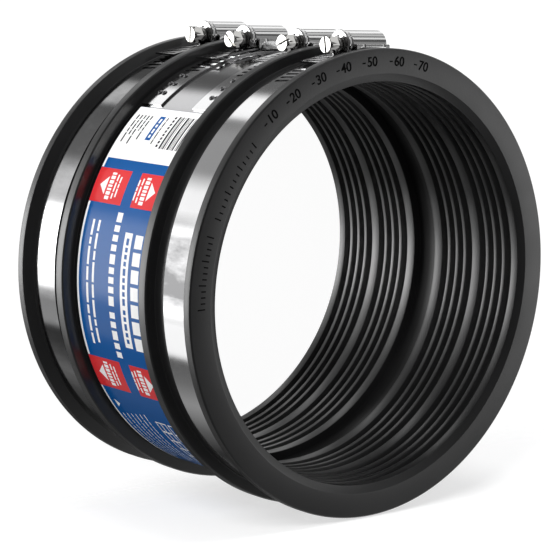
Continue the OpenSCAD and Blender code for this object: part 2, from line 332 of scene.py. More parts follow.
def steel_material(name, tint, rough, grain=(1, 1, 14), scale=160.0, painted_reflection_patches=None):
    """Rolled stainless strip: bright, with a fine grain along its length.

    The last argument has pairs of an angle round the pipe and a share: how far the steel's colour is darkened
    there, in noisy patches, as painted darker reflection.
    """
    t = new_material(name)
    colour = t.ramp(t.noise(18.0, 4.0), [(0.3, scaled(tint, 0.92)), (0.7, tint)])
    # Painted reflection: the steel's colour is darkened in noisy patches at the listed angles, which breaks
    # up what it mirrors
    if painted_reflection_patches:
        round_pipe = t.spread(t.turn(t.axes()), 0.0, 1.0, -pi, pi)
        zone = t.ramp(round_pipe, [((angle + 180) / 360, grey(share)) for angle, share in painted_reflection_patches])
        patches = t.ramp(t.noise(55.0, 6.0, 0.65, (1, 1, 0.4)), [(0.3, grey(0.72)), (0.56, grey(1.0))])
        reflection_dimmed = t.fill(t.add("ShaderNodeMix", data_type="RGBA"), Factor=t.math("MULTIPLY", zone, patches),
                        A=colour, B=(0.065, 0.065, 0.066, 1))
        colour = reflection_dimmed.outputs["Result"]
    lines = t.noise(scale, 3.0, 0.6, grain)
    t.principled(Metallic=1.0, Base_Color=colour, Roughness=t.spread(lines, rough * 0.7, rough * 1.3))
    t.bump(lines, 0.05, 0.0001)
    return t.owner


def print_material(name, colour, rough=0.16):
    """One printed colour of the glossy label film."""
    t = new_material(name)
    tone = t.ramp(t.noise(35.0), [(0.3, scaled(colour, 0.93)), (0.7, colour)])
    t.principled(Metallic=0.0, Base_Color=tone, Specular_IOR_Level=0.15,
                 Roughness=t.spread(t.noise(140.0, 2.0), rough * 0.9, rough * 1.2))
    t.bump(t.noise(40.0, 2.0), 0.04, 0.0003)
    return t.owner


RUBBER = rubber_material()
MARK = mark_material()
STRIP_TINT = (0.64, 0.64, 0.645)
BAND = steel_material("band_strip_steel", STRIP_TINT, 0.1)
# The outer bands carry painted reflection: their steel is darkened in patches at the listed angles
REAR_BAND = steel_material("rear_band_strip_steel", STRIP_TINT, 0.1, painted_reflection_patches=[
    (-179.0, 0.3), (-172.0, 0.9), (-130.0, 0.8), (-120.0, 0.4), (140.0, 0.8), (160.0, 0.6), (167.0, 0.1),
    (178.0, 0.1)])
FRONT_BAND = steel_material("front_band_strip_steel", STRIP_TINT, 0.1, painted_reflection_patches=[
    (-179.0, 0.95), (-177.0, 0.7), (-173.0, 0.0), (159.0, 0.0), (166.0, 1.0), (178.0, 1.0)])
CLINCH = steel_material("clinch_steel", (0.24, 0.24, 0.245), 0.16)
RING = steel_material("ring_sheet_steel", (0.4, 0.4, 0.405), 0.12)
HOUSING = steel_material("pressed_housing_steel", (0.66, 0.66, 0.66), 0.09, (14, 1, 1), 120.0)
SCREW = steel_material("screw_plated_steel", (0.54, 0.535, 0.52), 0.11, (1, 1, 1), 90.0)
BLUE = print_material("print_blue", (0.003, 0.088, 0.31))
WHITE = print_material("print_white", (0.94, 0.94, 0.93))
RED = print_material("print_red", (0.7, 0.035, 0.04))
BLACK = print_material("print_black", (0.015, 0.015, 0.02))


# Mesh helpers

def add_object(name, data):
    made = bpy.data.objects.new(name, data)
    bpy.context.scene.collection.objects.link(made)
    return made


def make_object(name, verts, faces, materials, smooth=True, face_materials=None):
    """An object from points in millimetres; face_materials has each face's number in materials."""
    mesh = bpy.data.meshes.new(name)
    mesh.from_pydata([Vector(v) * MM for v in verts], [], faces)
    for m in materials:
        mesh.materials.append(m)
    for i, polygon in enumerate(mesh.polygons):
        polygon.use_smooth = smooth
        if face_materials:
            polygon.material_index = face_materials[i]
    mesh.update()
    return add_object(name, mesh)


def clean(made, angle=35.0):
    """Welds doubled points, turns faces outwards and keeps edges sharper than angle sharp."""
    bm = bmesh.new()
    bm.from_mesh(made.data)
    bmesh.ops.remove_doubles(bm, verts=bm.verts, dist=2e-6)
    bmesh.ops.recalc_face_normals(bm, faces=bm.faces)
    for e in bm.edges:
        e.smooth = len(e.link_faces) == 2 and e.calc_face_angle(0) < radians(angle)
    bm.to_mesh(made.data)
    bm.free()
    return made


def join(name, pieces):
    """One object from several, each in its place."""
    bpy.context.view_layer.update()
    bm = bmesh.new()
    materials = []
    for piece in pieces:
        copy = piece.data.copy()
        copy.transform(piece.matrix_world)
        for polygon in copy.polygons:
            polygon.material_index += len(materials)
        materials += list(piece.data.materials)
        bm.from_mesh(copy)
        bpy.data.objects.remove(piece)
    mesh = bpy.data.meshes.new(name)
    bm.to_mesh(mesh)
    bm.free()
    for m in materials:
        mesh.materials.append(m)
    return add_object(name, mesh)


def evaluated_mesh(made):
    """The mesh that an object shows, with its curves and modifiers carried out."""
    bpy.context.view_layer.update()
    return bpy.data.meshes.new_from_object(made.evaluated_get(bpy.context.evaluated_depsgraph_get()))


def rounded(profile, radius, steps=4):
    """A closed outline with each corner rounded; radius is one number or a list with one for each point."""
    made = []
    count = len(profile)
    for i, p in enumerate(profile):
        r = radius[i] if isinstance(radius, list) else radius
        here = Vector(p)
        to_last = Vector(profile[i - 1]) - here
        to_next = Vector(profile[(i + 1) % count]) - here
        if r <= 0 or to_last.length < 1e-6 or to_next.length < 1e-6:
            made.append(here)
            continue
        half = to_last.angle(to_next) / 2
        reach = min(r / max(tan(half), 1e-3), 0.45 * to_last.length, 0.45 * to_next.length)
        a = here + to_last.normalized() * reach
        b = here + to_next.normalized() * reach
        for k in range(steps + 1):
            s = k / steps
            made.append(a * (1 - s) ** 2 + here * 2 * s * (1 - s) + b * s ** 2)
    return made


def rectangle(u0, u1, v0, v1):
    return [(u0, v0), (u1, v0), (u1, v1), (u0, v1)]


def anticlockwise(loop):
    turn = sum(a[0] * b[1] - b[0] * a[1] for a, b in zip(loop, loop[1:] + loop[:1]))
    return loop if turn > 0 else loop[::-1]


def loop_edges(first, count):
    return [(first + i, first + (i + 1) % count) for i in range(count)]


def open_edges(cells):
    """The edges that only one cell has, in that cell's direction."""
    sides = {}
    for cell in cells:
        for a, b in zip(cell, cell[1:] + cell[:1]):
            key = (min(a, b), max(a, b))
            sides[key] = None if key in sides else (a, b)
    return [side for side in sides.values() if side]


def prism_faces(count):
    """Faces of a prism whose lower ring of points comes first."""
    lower, upper = list(range(count - 1, -1, -1)), list(range(count, 2 * count))
    return [lower, upper] + [(k, (k + 1) % count, (k + 1) % count + count, k + count) for k in range(count)]


def lathe(name, profile, material, segments, centre=(0, 0, 0), axis="Z", angle=35.0):
    """A closed outline of (radius, height) turned about an axis through centre."""
    verts, faces = [], []
    count = len(profile)
    for i in range(segments):
        a = 2 * pi * i / segments
        for r, h in profile:
            p = (r * cos(a), r * sin(a), h) if axis == "Z" else (h, r * cos(a), r * sin(a))
            verts.append(Vector(p) + Vector(centre))
    for i in range(segments):
        j = (i + 1) % segments
        for k in range(count):
            m = (k + 1) % count
            faces.append((i * count + k, i * count + m, j * count + m, j * count + k))
    return clean(make_object(name, verts, faces, [material]), angle)


def extrude(name, outline, x0, x1, z, material):
    """A closed outline of (z, y) points, extruded along X."""
    verts = [Vector(p) for p in outline]
    points, _, cells = delaunay_2d_cdt(verts, loop_edges(0, len(verts)), [], CDT_OUTLINE, 1e-5)[:3]
    cells = [list(cell) for cell in cells]
    count = len(points)
    made = [(x, p[1], z + p[0]) for x in (x0, x1) for p in points]
    faces = []
    for cell in cells:
        faces += [cell, [c + count for c in reversed(cell)]]
    faces += [(b, a, a + count, b + count) for a, b in open_edges(cells)]
    return clean(make_object(name, made, faces, [material]))


def wrapped_sheet(name, outline, holes, prints, materials, step, place, thickness):
    """A flat sheet laid on a curved path.

    outline, holes and prints are outlines in (u, v); prints pairs an outline with a material's number, and
    a later print lies on an earlier one. The sheet is divided every step along u. place(u) gives the point
    and the outward normal at u; v runs along Z.
    """
    loops = [anticlockwise(p) for p in [outline] + holes + [p for p, _ in prints]]
    verts, edges, cells = [], [], []
    for loop in loops:
        edges += loop_edges(len(verts), len(loop))
        cells.append([len(verts) + i for i in range(len(loop))])
        verts += [Vector(p) for p in loop]
    u_low, u_high = min(p[0] for p in outline), max(p[0] for p in outline)
    v_low, v_high = min(p[1] for p in outline), max(p[1] for p in outline)
    strips = ceil((u_high - u_low) / step)
    for i in range(1, strips):
        u = u_low + i * (u_high - u_low) / strips
        verts += [Vector((u, v_low)), Vector((u, v_high))]
        edges.append((len(verts) - 2, len(verts) - 1))
    points, _, triangles, _, _, sources = delaunay_2d_cdt(verts, edges, cells, CDT_HULL, 1e-5)

    first_print = 1 + len(holes)
    kept, numbers = [], []
    for triangle, source in zip(triangles, sources):
        if 0 not in source or any(1 <= s < first_print for s in source):
            continue
        top = max(source)
        kept.append(list(triangle))
        numbers.append(prints[top - first_print][1] if top >= first_print else 0)

    count = len(points)
    lower, upper = [], []
    for u, v in points:
        p, n = place(u)
        lower.append((p[0], p[1], v))
        upper.append((p[0] + n[0] * thickness, p[1] + n[1] * thickness, v))
    faces, face_materials = [], []
    for triangle, number in zip(kept, numbers):
        faces += [[c + count for c in triangle], triangle[::-1]]
        face_materials += [number, 0]
    sides = [(a, b, b + count, a + count) for a, b in open_edges(kept)]
    faces += sides
    face_materials += [0] * len(sides)

    every = lower + upper
    used = sorted({c for face in faces for c in face})
    number_of = {c: i for i, c in enumerate(used)}
    faces = [[number_of[c] for c in face] for face in faces]
    return clean(make_object(name, [every[c] for c in used], faces, materials, True, face_materials), 30.0)


def keep(piece, slot, body, *nodes):
    """Puts a piece on its moving body and hides the CAD nodes it takes the place of. The slot is not used."""
    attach(piece, body)
    if nodes:
        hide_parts(*nodes)
    return piece


# Rubber sleeve

def lip_group(start):
    """A group of lips that starts at a distance from the sleeve's middle, as (radius, distance) points."""
    made = [(land_r, start), (land_r + lip_h, start + lip_flank)]
    for i in range(1, lip_count + 1):
        c = start + lip_flank + i * lip_pitch - lip_w / 2
        made += [(land_r + lip_h, c - lip_w / 2 - lip_flank), (land_r, c - lip_w / 2),
                 (land_r, c + lip_w / 2), (land_r + lip_h, c + lip_w / 2 + lip_flank)]
    return made + [(land_r + lip_h, start + group_w - lip_flank), (land_r, start + group_w)]


def half_inside():
    """The inside from the middle recess to the mouth, as (radius, distance from the middle) points."""
    inner = stop_half_w + stop_land_w
    return (
        [(land_r + stop_h, stop_half_w - stop_flank), (land_r, stop_half_w)]
        + lip_group(inner)
        + lip_group(inner + group_w + mid_land_w)
        + [(land_r, mid_z - mouth_w), (land_r + mouth_r, mid_z)]
    )


def half_outside():
    """The outside from the end face to the ring's seat, as (radius, distance from the end face) points."""
    return [
        (crest_r - bevel, 0), (crest_r, bevel), (crest_r, rim_crest_w), (groove_r, rim_w),
        (groove_r, rib_z), (crest_r - bevel, rib_z), (crest_r, rib_z + bevel),
        (crest_r, rib_z + rib_w - bevel), (crest_r - bevel, rib_z + rib_w), (seat_r, rib_z + rib_w),
    ]


def make_sleeve():
    upper = [(r, mid_z + m) for r, m in half_inside()]
    lower = [(r, mid_z - m) for r, m in reversed(half_inside())]
    outside = half_outside() + [(r, sleeve_w - z) for r, z in reversed(half_outside())]
    profile = rounded(lower + upper + outside[::-1], mould_round, 3)
    sleeve = lathe("sleeve_body", profile, RUBBER, sleeve_facets, angle=80.0)
    return keep(sleeve, "sleeve_rubber", "coupling", "rubber_sleeve")


def make_face_marks():
    """Plain numbers, each with a short dash before it, and two rows of ticks, raised on the end face."""
    proud = 0.08
    number_r, font_size, dash = 91.7, 5.52, (1.8, 0.55)
    number_angles = (130.3, 121.7, 112.6, 104.1, 95.3, 86.1, 77.6)
    number_shift, dash_shift = -0.5, 2.3
    tick_w, short_share, ticks = 0.55, 0.6, 13
    number_bevel, number_swell, bar_taper = 0.05, 0.03, (0.9, 0.96)
    # A row's first and last angle, its radius and the length of a long tick
    tick_rows = ((159.4, 138.6, 90.2, 3.2), (181.8, 164.1, 91.3, 3.6))

    def place(made, name, angle, r):
        made.name = name
        turn = Matrix.Rotation(radians(angle - 90), 4, "Z")
        made.data.transform(turn @ Matrix.Translation(Vector((0, r, sleeve_w)) * MM))
        keep(made, "sleeve_rubber", "coupling")

    def bar(wide, high):
        corners = rectangle(-wide / 2, wide / 2, -high / 2, high / 2)
        verts = [(x, y, -proud) for x, y in corners]
        verts += [(x * bar_taper[0], y * bar_taper[1], proud) for x, y in corners]
        return clean(make_object("tick", verts, prism_faces(4), [MARK], False))

    def number(value):
        words = bpy.data.curves.new("number", "FONT")
        words.body = str(value)
        words.size = font_size * MM
        words.extrude = proud * MM
        words.bevel_depth = number_bevel * MM
        words.offset = number_swell * MM
        words.align_x, words.align_y = "CENTER", "CENTER"
        curve = add_object("number", words)
        mesh = evaluated_mesh(curve)
        bpy.data.objects.remove(curve)
        mesh.materials.clear()
        mesh.materials.append(MARK)
        return clean(add_object("number", mesh), 40.0)

    for k, angle in enumerate(number_angles):
        place(number(10 * (k + 1)), f"face_number_{k + 1}", angle + number_shift, number_r)
        place(bar(*dash), f"face_dash_{k + 1}", angle + dash_shift, number_r)
    for row, (start, end, r, long) in enumerate(tick_rows):
        for k in range(ticks):
            angle = start + (end - start) * k / (ticks - 1)
            tick = long if k % 4 == 0 else short_share * long
            place(bar(tick_w, tick), f"face_tick_{row + 1}_{k + 1}", angle, r - (long - tick) / 2)


# Sheets on the sleeve

def on_circle(radius):
    def place(u):
        a = radians(u)
        return (radius * cos(a), radius * sin(a)), (cos(a), sin(a))
    return place


def make_ring():
    start, end = slit_angle + slit_span / 2, slit_angle + 360 - slit_span / 2
    outline = rectangle(start, end, ring_z, sleeve_w - ring_z)
    ring = wrapped_sheet("ring_sheet", outline, [], [], [RING], sheet_step, on_circle(ring_in_r), ring_t)
    return keep(ring, "band_steel", "coupling", "shear_ring")


def slot_outline(a, z, radius):
    """A slanted slot with its middle at angle a, as an outline in degrees and millimetres."""
    turn = radians(slot_slant)
    made = []
    for u, v in rounded(rectangle(-slot_w / 2, slot_w / 2, -slot_l / 2, slot_l / 2), slot_round, 2):
        along = (u * cos(turn) - v * sin(turn)) / radius
        made.append((a + degrees(along), z + u * sin(turn) + v * cos(turn)))
    return made


def climb(a):
    """How far a band has climbed from the sleeve into its housing at an angle, from 0 to 1."""
    return (1 - cos(pi * min(1.0, max(0.0, (a - ramp_start) / (ramp_end - ramp_start))))) / 2


def free_path(base_r):
    """The path of a band's inner side: round the sleeve, up the climb, under the worm and out straight."""
    def place(u):
        if u <= tail_straight_angle:
            r = base_r - band_t + (tail_lift + band_t) * climb(u)
            a = radians(u)
            return (r * cos(a), r * sin(a)), (cos(a), sin(a))
        r = base_r + tail_lift
        a = radians(tail_straight_angle)
        s = radians(u - tail_straight_angle) * r
        return (r * cos(a) - s * sin(a), r * sin(a) + s * cos(a)), (cos(a), sin(a))
    return place


def steps_down(first, last, step):
    made, a = [], first
    while a > last:
        made.append(a)
        a -= step
    return made


def fixed_slots(last):
    """Angles of the slots in a fixed stretch, from its last slot down."""
    return steps_down(last, fixed_slot_start - 1, slot_step)


def make_band(i, start, node, lie_slots, material):
    """A band from its start angle, round the sleeve and out to the tip of its tail.

    lie_slots are the angles of the slots in the part that lies under the tail.
    """
    base_r = clamp_base_r[i]
    z = clamp_z[i]
    tip = tail_straight_angle + degrees(tan(radians(tail_tip_angle[i] - tail_straight_angle)))
    outline = rectangle(start, tip, z - band_w / 2, z + band_w / 2)
    tail_slots = steps_down(tip - slot_tip_margin, ramp_start - slot_ramp_margin, slot_step)
    holes = [slot_outline(a, z, base_r + tail_lift) for a in tail_slots]
    holes += [slot_outline(a - 360, z, base_r) for a in lie_slots]
    band = wrapped_sheet(node + "_strip", outline, holes, [], [material], sheet_step, free_path(base_r),
                         band_t)
    return keep(band, "band_steel", "coupling", node)


def make_outer_band(i, node, material):
    return make_band(i, band_fixed_angle - 360, node, fixed_slots(outer_slot_end), material)


def clinch_dents(i, first):
    """Pairs of small raised buttons, each with a pressed middle, where a band is clinched to the ring."""
    r, h = clinch_r, clinch_h
    profile = [(0, -clinch_foot), (r, -clinch_foot), (r * 0.97, h * 0.3), (r * 0.85, h * 0.8), (r * 0.68, h),
               (r * 0.5, h * 0.7), (r * 0.35, h * 0.1), (0, h * 0.04)]
    made = []
    for j in range(clinch_rows):
        turn = Matrix.Rotation(radians(first - j * clinch_step), 4, "Z")
        for side in (-1, 1):
            button = lathe(f"clinch_{i}_{j}_{side + 1}", profile, CLINCH, button_facets, axis="X", angle=60.0)
            place = Vector((clamp_base_r[i], 0, clamp_z[i] + side * (r + clinch_space / 2)))
            button.matrix_world = turn @ Matrix.Translation(place * MM)
            made.append(button)
    return made


def make_strap(i, node):
    base_r = clamp_base_r[i]
    z = clamp_z[i]
    outline = rectangle(band_fixed_angle, strap_end, z - band_w / 2, z + band_w / 2)
    holes = [slot_outline(a, z, base_r) for a in fixed_slots(strap_slot_end)]
    path = on_circle(base_r - band_t)
    strip = wrapped_sheet(node + "_sheet", outline, holes, [], [BAND], sheet_step, path, band_t)
    dents = clinch_dents(i, strap_end - clinch_margin)
    return keep(join(node + "_strip", [strip] + dents), "band_steel", "coupling", node)


def make_tail_band(i, node):
    make_band(i, tail_band_start, node, [], BAND)
    dents = clinch_dents(i, tail_band_start + clinch_margin + (clinch_rows - 1) * clinch_step)
    keep(join(node + "_clinches", dents), "band_steel", "coupling")


# Label

def make_label():
    """The label: fields of colour, bars and small blocks that stand for print.

    A place on it is an angle round the pipe and a height over the label's lower edge.
    """
    prints = []
    blue, white, red, black = 0, 1, 2, 3
    edge = 0.02
    top = label_w - edge
    panel_end = 148.3

    def box(u0, u1, v0, v1, colour):
        prints.append((rectangle(u0, u1, label_z + v0, label_z + v1), colour))

    def triangle(middle, half, foot, tip, colour):
        corners = [(middle - half, foot), (middle + half, foot), (middle, tip)]
        prints.append(([(u, label_z + v) for u, v in corners], colour))

    def blocks(u0, u1, v0, high, colour, pattern):
        """A row of blocks from u0 to u1; pattern gives the blocks' and gaps' relative lengths by turns."""
        scale = (u1 - u0) / sum(pattern)
        u = u0
        for k, length in enumerate(pattern):
            if k % 2 == 0:
                box(u, u + length * scale, v0, v0 + high, colour)
            u += length * scale

    letters = (3, 1, 2, 1, 2, 1, 2, 1, 3, 1, 2, 1, 2, 1, 2, 1, 3, 2, 2, 1, 2, 1, 3, 1, 2, 1, 2)
    words = (5, 1, 7, 1, 4, 1, 9, 1, 6, 1, 8, 1, 3, 1, 7)
    digits = (2, 1) * 8 + (2,)
    figures = (2, 1, 3, 1, 3, 1, 2, 1, 2, 1, 3, 1, 3)
    short_word = (3, 1, 2, 1, 3, 1, 2)
    large_letters = (7, 2) * 6 + (7,)

    # White panel with a bar code, a row of digits, a blue field and lines
    box(label_start + edge, panel_end, edge, top, white)
    code_start, code_end, v = 133.6, 144.0, 30.0
    for bar, gap in ((1.2, 0.5), (0.4, 0.4), (0.9, 0.6), (0.4, 0.9), (1.3, 0.4), (0.5, 0.5), (0.4, 0.4),
                     (1.0, 0.8), (0.4, 0.4), (0.8, 0.4), (0.4, 0.5)):
        box(code_start, code_end, v, v + bar, black)
        v += bar + gap
    blocks(133.8, 143.6, 27.4, 1.3, black, digits)
    box(134.2, 142.0, 18.0, 21.6, blue)
    blocks(135.0, 141.2, 19.2, 1.2, white, short_word)
    blocks(134.4, 143.0, 23.2, 0.8, black, words[:9])
    for k, line_end in enumerate((143.4, 141.0, 143.8, 139.6, 142.2)):
        first = 2 * (k % 4)
        blocks(134.4, line_end, 3.0 + 2.3 * k, 0.9, black, words[first:first + 7])

    # Red fields, each with a white triangle that points to the nearer edge, a row of figures and two lines
    triangle_high, triangle_half, line_high = 4.4, 2.5, 0.9
    near, far = 1.2, 4.0
    for u0, u1 in ((151.2, 160.5), (201.5, 210.9)):
        for v0, v1, tip, outwards in ((edge, 21.8, 4.0, -1), (28.6, top, 41.6, 1)):
            box(u0, u1, v0, v1, red)
            foot = tip - outwards * triangle_high
            triangle((u0 + u1) / 2, triangle_half, foot, tip, white)
            low = min(foot - outwards * near, foot - outwards * far)
            blocks(u0 + 1.0, u1 - 1.0, low, far - near, white, figures)
            for k in (0, 1):
                low = foot - outwards * (5.4 + 2.2 * k) - (0 if outwards < 0 else line_high)
                inset = 1.4 + 0.5 * k
                blocks(u0 + inset, u1 - inset, low, line_high, white, words[2 * k:2 * k + 5])

    # White line along the lower edge, between the red fields and after them
    box(panel_end, 151.1, edge, 1.3, white)
    box(160.6, 201.4, edge, 1.3, white)
    box(211.0, label_end - edge, edge, 1.1, white)

    # Large blocks, the white strip with its blocks, a row of middle blocks and two thin lines
    blocks(167.0, 196.6, 37.4, 5.0, white, large_letters)
    box(166.8, 196.4, 30.2, 35.2, white)
    blocks(168.2, 195.2, 31.8, 1.8, blue, letters)
    blocks(162.2, 200.0, 22.2, 3.6, white, letters)
    blocks(165.0, 197.0, 10.6, 1.4, white, words)
    blocks(165.0, 197.6, 6.6, 1.4, white, words[::-1])

    # Fine print below the lower red fields: a triangle, lines, and two tables of small fields
    triangle(216.6, 1.4, 4.4, 7.0, white)
    for k in range(6):
        first = 2 * (k % 4)
        line = words[first:] + (1,) + words[:first + 1]
        blocks(220.5 - 0.4 * k, 243.0 - 1.5 * (k % 3), 3.6 + 3.5 * k, 0.5, white, line)
    for v0 in (27.0, 35.5):
        box(220.0, 243.0, v0, v0 + 7.0, white)
        for k in range(6):
            u0, u1 = 220.4 + 3.8 * k, 223.6 + 3.8 * k
            box(u0, u1, v0 + 0.5, v0 + 3.1, blue)
            box(u0, u1, v0 + 3.7, v0 + 6.5, blue)

    outline = rectangle(label_start, label_end, label_z, label_z + label_w)
    label = wrapped_sheet("label_film_sheet", outline, [], prints, [BLUE, WHITE, RED, BLACK], sheet_step,
                          on_circle(label_in_r), label_t)
    return keep(label, "label_film", "coupling", "printed_label")


# Saddles, housings and screws

def make_saddle(i, node):
    """A saddle: a plate bent to the band, with a low wall on each side of the housing."""
    base = clamp_base_r[i] + saddle_lift
    z = clamp_z[i]
    low, high = z - saddle_half_w, z + saddle_half_w
    front, back = 90 - degrees(asin(saddle_front / base)), 90 + degrees(asin(saddle_back / base))
    outline = rounded(rectangle(front, back, low, high), saddle_round, 3)
    plate = wrapped_sheet(node + "_plate", outline, [], [], [HOUSING], saddle_step, on_circle(base), saddle_t)
    pieces = [plate]
    foot, top = saddle_wall_l / 2, saddle_wall_l / 2 - saddle_wall_slope
    wall = [(-foot, base - wall_sink), (foot, base - wall_sink),
            (top, base + saddle_wall_h), (-top, base + saddle_wall_h)]
    for wall_z in (low, high - saddle_t):
        verts = [(x, y, wall_z + t) for t in (0, saddle_t) for x, y in wall]
        pieces.append(clean(make_object(node + "_wall", verts, prism_faces(4), [HOUSING], False)))
    return keep(join(node + "_sheet", pieces), "housing_steel", "coupling", node)


def arc_points(r, end, steps, y):
    """Points of an arc in the plane across the screw, from straight up to an end angle."""
    angles = [radians(end * k / steps) for k in range(steps + 1)]
    return [(r * sin(a), y + r * cos(a)) for a in angles]


def cutter(name, size, turn, place):
    """A box to cut with, turned about X."""
    made = add_object(name, bpy.data.meshes.new(name))
    bm = bmesh.new()
    bmesh.ops.create_cube(bm, size=1.0)
    bmesh.ops.scale(bm, vec=Vector(size) * MM, verts=bm.verts)
    bmesh.ops.rotate(bm, matrix=Matrix.Rotation(radians(turn), 3, "X"), verts=bm.verts)
    bmesh.ops.translate(bm, vec=Vector(place) * MM, verts=bm.verts)
    bm.to_mesh(made.data)
    bm.free()
    return made


def cut_away(piece, cutters, angle):
    """Takes the cutters' shapes out of a piece."""
    for k, tool in enumerate(cutters):
        modifier = piece.modifiers.new(f"cut_{k}", "BOOLEAN")
        modifier.operation = "DIFFERENCE"
        modifier.solver = "EXACT"
        modifier.object = tool
    final = evaluated_mesh(piece)
    piece.modifiers.clear()
    piece.data = final
    for tool in cutters:
        bpy.data.objects.remove(tool)
    for polygon in piece.data.polygons:
        polygon.use_smooth = True
    return clean(piece, angle)


def make_barrel(i, name):
    """The arched barrel with its shoulders and legs, and notches along the shoulders."""
    base = clamp_base_r[i]
    z = clamp_z[i]
    axis = base + axis_lift
    shoulder = base + shoulder_lift
    top = shoulder + housing_t
    leg = base + leg_lift
    out_r = barrel_in_r + housing_t
    side = leg_u + housing_t
    corner = 0.3 * shoulder_round
    # Half outline from the crown round to the foot of a leg, then back along the inside
    half = arc_points(out_r, degrees(acos((top - axis) / out_r)), 22, axis)
    half += [(side - shoulder_round, top), (side - corner, top - corner), (side, top - shoulder_round),
             (side, leg), (leg_u, leg), (leg_u, shoulder)]
    half += arc_points(barrel_in_r, degrees(acos((shoulder - axis) / barrel_in_r)), 18, axis)[::-1]
    outline = half + [(-x, y) for x, y in reversed(half)][1:-1]
    shell = extrude(name, outline, -housing_back, housing_front, z, HOUSING)
    cube = (notch_w, notch_w, notch_w)
    notches = [cutter("notch", cube, 45, (x, top, z + s * side)) for x in notch_x for s in (-1, 1)]
    return cut_away(shell, notches, 35.0)


def make_nose(i, name):
    """The nose round the screw's collar, cut off flat over the band."""
    base = clamp_base_r[i]
    x0 = -housing_back - nose_l
    x_sink = x0 + collar_sink
    x1 = -housing_back + housing_t
    out_r = barrel_in_r + housing_t
    lip_r = out_r + flare_r
    collar_hole, neck_hole = collar_r + collar_gap, worm_r + neck_gap
    # From the collar's hole round the rolled lip and the waist to the barrel, then back along the inside
    profile = [(collar_hole, x0), (lip_r - 0.2, x0), (lip_r, x0 + 0.5), (lip_r, x0 + 1.0),
               (lip_r - 0.35, x0 + 1.5), (out_r - 0.25, x0 + 2.1), (out_r, x0 + 2.7), (out_r, x1),
               (neck_hole, x1), (neck_hole, x_sink), (collar_hole, x_sink)]
    profile = rounded(profile, [0.1, 0.3, 0.3, 0.3, 0.3, 0.3, 0.3, 0, 0, 0.1, 0.1], 3)
    nose = lathe(name, profile, HOUSING, turned_facets, (0, base + axis_lift, clamp_z[i]), "X")
    below = (x0, base + nose_lift - 2 * out_r, clamp_z[i])
    return cut_away(nose, [cutter("below", (4 * nose_l, 4 * out_r, 4 * out_r), 0, below)], 40.0)


def make_housing(i, node):
    pieces = [make_barrel(i, node + "_barrel"), make_nose(i, node + "_nose")]
    return keep(join(node + "_shell", pieces), "housing_steel", "coupling", node)


def make_screw(i, node, body):
    centre = (0, clamp_base_r[i] + axis_lift, clamp_z[i])
    x_neck = -housing_back - nose_l + collar_sink - collar_gap
    x_collar = x_neck - collar_l
    x_end = housing_front - worm_back
    neck_r = collar_r - collar_neck_h
    # The bulging collar, its neck in the nose, and the worm's core
    profile = [(0, x_collar), (collar_r - 0.9, x_collar), (collar_r - 0.2, x_collar + 0.35),
               (collar_r, x_collar + 1.1), (collar_r - 0.15, x_collar + 2.0), (neck_r, x_collar + 2.5),
               (neck_r, x_neck), (worm_r, x_neck), (worm_r, x_end - 0.4), (worm_r - 0.4, x_end),
               (0, x_end)]
    profile = rounded(profile, [0, 0.3, 0.4, 0.5, 0.4, 0.2, 0.1, 0, 0.1, 0.1, 0], 3)
    shaft = lathe(node + "_shaft", profile, SCREW, turned_facets, centre, "X", 40.0)
    head = make_head(node + "_head", x_collar - hex_l, x_collar, driver_angle[i], centre)
    x_thread = -housing_back + housing_t + thread_start_gap
    thread = make_thread(node + "_thread", x_thread, x_end - thread_end_gap, centre)
    return keep(join(node + "_turned", [shaft, head, thread]), "screw_steel", body, node)


def make_thread(name, x0, x1, centre):
    """A helical ridge on the worm's core that fades out over a sixth of its length at each end."""
    steps = 32
    count = round((x1 - x0) / thread_pitch * steps)
    foot_r = worm_r - thread_sink
    verts, faces = [], []
    for k in range(count + 1):
        a = 2 * pi * k / steps
        x = x0 + thread_pitch * k / steps
        ridge_r = worm_r + thread_h * min(1.0, 6 * k / count, 6 * (count - k) / count)
        for dx, r in ((-thread_half_w, foot_r), (-thread_crest_half_w, ridge_r),
                      (thread_crest_half_w, ridge_r), (thread_half_w, foot_r)):
            verts.append(Vector((x + dx, r * cos(a), r * sin(a))) + Vector(centre))
    for k in range(count):
        for m in range(4):
            n = (m + 1) % 4
            faces.append((4 * k + m, 4 * k + n, 4 * k + 4 + n, 4 * k + 4 + m))
    faces += [(3, 2, 1, 0), tuple(4 * count + m for m in range(4))]
    return clean(make_object(name, verts, faces, [SCREW]))


def make_head(name, x0, x1, turn, centre):
    """A hexagon head with chamfered corners and a driver slot."""
    apothem = hex_af / 2
    corner_r = apothem / cos(pi / 6)
    count = 6 * hex_side_facets
    # Each level's place along the screw, and the radius that cuts its hexagon's corners off
    levels = [(x0, apothem * hex_face_share), (x0 + hex_edge_l, apothem), (x0 + hex_chamfer_l, corner_r),
              (x1, corner_r)]
    bm = bmesh.new()
    loops = []
    for x, limit in levels:
        loop = []
        for k in range(count):
            a = 2 * pi * k / count
            from_flat = (a + pi / 6) % (pi / 3) - pi / 6
            r = min(apothem / cos(from_flat), limit)
            loop.append(bm.verts.new(Vector((x, r * cos(a), r * sin(a))) * MM))
        loops.append(loop)
    for a, b in zip(loops, loops[1:]):
        for k in range(count):
            bm.faces.new((a[k], a[(k + 1) % count], b[(k + 1) % count], b[k]))
    bm.faces.new(loops[-1])
    bm.faces.new(loops[0][::-1])
    mesh = bpy.data.meshes.new(name)
    bm.to_mesh(mesh)
    bm.free()
    mesh.materials.append(SCREW)
    slot = cutter(name + "_cut", (2 * driver_h, driver_w, 3 * hex_af), turn, (x0, 0, 0))
    head = cut_away(add_object(name, mesh), [slot], 20.0)
    head.matrix_world = Matrix.Translation(Vector(centre) * MM)
    return head


# Camera, floor and light

def point_from_photo(along, side, up):
    """A direction (along the pipe, sideways, up) in the photograph, as a direction in the part's frame."""
    return Vector((side, up, along))


